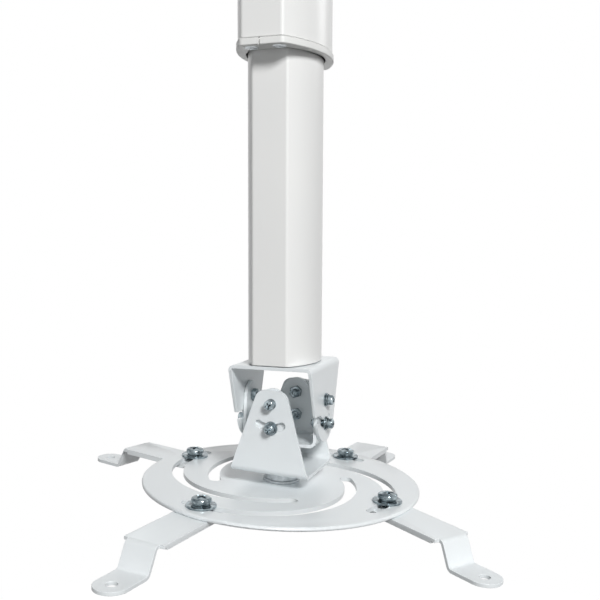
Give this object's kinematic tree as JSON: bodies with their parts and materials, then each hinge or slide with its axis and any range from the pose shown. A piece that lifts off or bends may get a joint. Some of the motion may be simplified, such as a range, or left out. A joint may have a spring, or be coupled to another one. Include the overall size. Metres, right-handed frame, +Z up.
{
  "type": "projector ceiling mount",
  "caption": "White ceiling mount for a projector: telescopic tube, tilting and rolling head, and a swivelling round plate whose spiral slots carry adjustable arms with drilled feet.",
  "frame": {"origin": "the middle of the ceiling plate's upper face, where the mount meets the ceiling", "axes": "+Z points up out of the ceiling plate, so the mount hangs below zero; X runs left to right and Y front to back, square to the forks"},
  "size_m": [0.3478, 0.3656, 0.6345],
  "materials": {
    "white_powder_coat": "smooth glossy white powder coat",
    "white_plastic": "satin white plastic",
    "grey_plastic": "plain dark grey plastic",
    "zinc_plated_steel": "bright zinc plating"
  },
  "bodies": {
    "ceiling_side": {"ceiling_plate": "white_powder_coat", "outer_tube": "white_powder_coat", "guide_bush": "grey_plastic", "collar": "white_plastic", "collar_screws": "zinc_plated_steel", "height_lock_screws": "zinc_plated_steel", "height_lock_nuts": "zinc_plated_steel"},
    "sliding_side": {"inner_tube": "white_powder_coat", "upper_fork": "white_powder_coat", "tilt_pivot_screws": "zinc_plated_steel", "tilt_pivot_spring_washers": "zinc_plated_steel", "tilt_pivot_washers": "zinc_plated_steel", "tilt_pivot_nuts": "zinc_plated_steel"},
    "middle": {"cross_bracket": "white_powder_coat", "tilt_lock_screws": "zinc_plated_steel", "tilt_lock_spring_washers": "zinc_plated_steel", "tilt_lock_washers": "zinc_plated_steel", "tilt_lock_nuts": "zinc_plated_steel", "roll_pivot_screws": "zinc_plated_steel", "roll_pivot_spring_washers": "zinc_plated_steel", "roll_pivot_washers": "zinc_plated_steel", "roll_pivot_nuts": "zinc_plated_steel", "roll_lock_screws": "zinc_plated_steel", "roll_lock_spring_washers": "zinc_plated_steel", "roll_lock_washers": "zinc_plated_steel", "roll_lock_nuts": "zinc_plated_steel"},
    "lower_head": {"lower_fork": "white_powder_coat", "swivel_bolt": "zinc_plated_steel", "swivel_bolt_washer": "zinc_plated_steel", "swivel_plate_washer": "zinc_plated_steel", "swivel_spacer": "zinc_plated_steel", "swivel_nut_washer": "zinc_plated_steel", "swivel_lock_nut": "zinc_plated_steel"},
    "plate": {"round_plate": "white_powder_coat"},
    "carriage_back_left": {"clamp_bolt_back_left": "zinc_plated_steel", "clamp_spring_washer_back_left": "zinc_plated_steel", "clamp_washer_back_left": "zinc_plated_steel", "clamp_nut_back_left": "zinc_plated_steel"},
    "arm_back_left": {"arm_back_left": "white_powder_coat"},
    "carriage_front_left": {"clamp_bolt_front_left": "zinc_plated_steel", "clamp_spring_washer_front_left": "zinc_plated_steel", "clamp_washer_front_left": "zinc_plated_steel", "clamp_nut_front_left": "zinc_plated_steel"},
    "arm_front_left": {"arm_front_left": "white_powder_coat"},
    "carriage_front_right": {"clamp_bolt_front_right": "zinc_plated_steel", "clamp_spring_washer_front_right": "zinc_plated_steel", "clamp_washer_front_right": "zinc_plated_steel", "clamp_nut_front_right": "zinc_plated_steel"},
    "arm_front_right": {"arm_front_right": "white_powder_coat"},
    "carriage_back_right": {"clamp_bolt_back_right": "zinc_plated_steel", "clamp_spring_washer_back_right": "zinc_plated_steel", "clamp_washer_back_right": "zinc_plated_steel", "clamp_nut_back_right": "zinc_plated_steel"},
    "arm_back_right": {"arm_back_right": "white_powder_coat"}
  },
  "joints": [
    {"name": "height", "type": "slide", "parent": "ceiling_side", "child": "sliding_side", "axis": [0, 0, 1], "range_m": [-0.055, 0.175]},
    {"name": "tilt", "type": "hinge", "parent": "sliding_side", "child": "middle", "pos_m": [0, 0, -0.5441], "axis": [1, 0, 0], "range_deg": [-20, 20]},
    {"name": "roll", "type": "hinge", "parent": "middle", "child": "lower_head", "pos_m": [0, 0, -0.5441], "axis": [0, 1, 0], "range_deg": [-22.8, 17.2]},
    {"name": "swivel", "type": "hinge", "parent": "lower_head", "child": "plate", "pos_m": [-0.00298, 0, -0.60503], "axis": [0.0488, 0, 0.9988], "continuous": true},
    {"name": "slot_travel_back_left", "type": "hinge", "parent": "plate", "child": "carriage_back_left", "pos_m": [-0.01828, 0.01286, -0.60428], "axis": [0.0488, 0, 0.9988], "range_deg": [-11.4, 60]},
    {"name": "arm_swing_back_left", "type": "hinge", "parent": "carriage_back_left", "child": "arm_back_left", "pos_m": [-0.08423, 0.02426, -0.60105], "axis": [0.0488, 0, 0.9988], "range_deg": [-45, 45]},
    {"name": "slot_travel_front_left", "type": "hinge", "parent": "plate", "child": "carriage_front_left", "pos_m": [-0.01582, -0.01532, -0.6044], "axis": [0.0488, 0, 0.9988], "range_deg": [-10.2, 60]},
    {"name": "arm_swing_front_left", "type": "hinge", "parent": "carriage_front_left", "child": "arm_front_left", "pos_m": [-0.02859, -0.08109, -0.60377], "axis": [0.0488, 0, 0.9988], "range_deg": [-45, 45]},
    {"name": "slot_travel_front_right", "type": "hinge", "parent": "plate", "child": "carriage_front_right", "pos_m": [0.01232, -0.01286, -0.60578], "axis": [0.0488, 0, 0.9988], "range_deg": [-20.2, 60]},
    {"name": "arm_swing_front_right", "type": "hinge", "parent": "carriage_front_right", "child": "arm_front_right", "pos_m": [0.07923, -0.01402, -0.60905], "axis": [0.0488, 0, 0.9988], "range_deg": [-45, 45]},
    {"name": "slot_travel_back_right", "type": "hinge", "parent": "plate", "child": "carriage_back_right", "pos_m": [0.00986, 0.01532, -0.60566], "axis": [0.0488, 0, 0.9988], "range_deg": [-10.7, 60]},
    {"name": "arm_swing_back_right", "type": "hinge", "parent": "carriage_back_right", "child": "arm_back_right", "pos_m": [0.02206, 0.0812, -0.60625], "axis": [0.0488, 0, 0.9988], "range_deg": [-45, 45]}
  ]
}
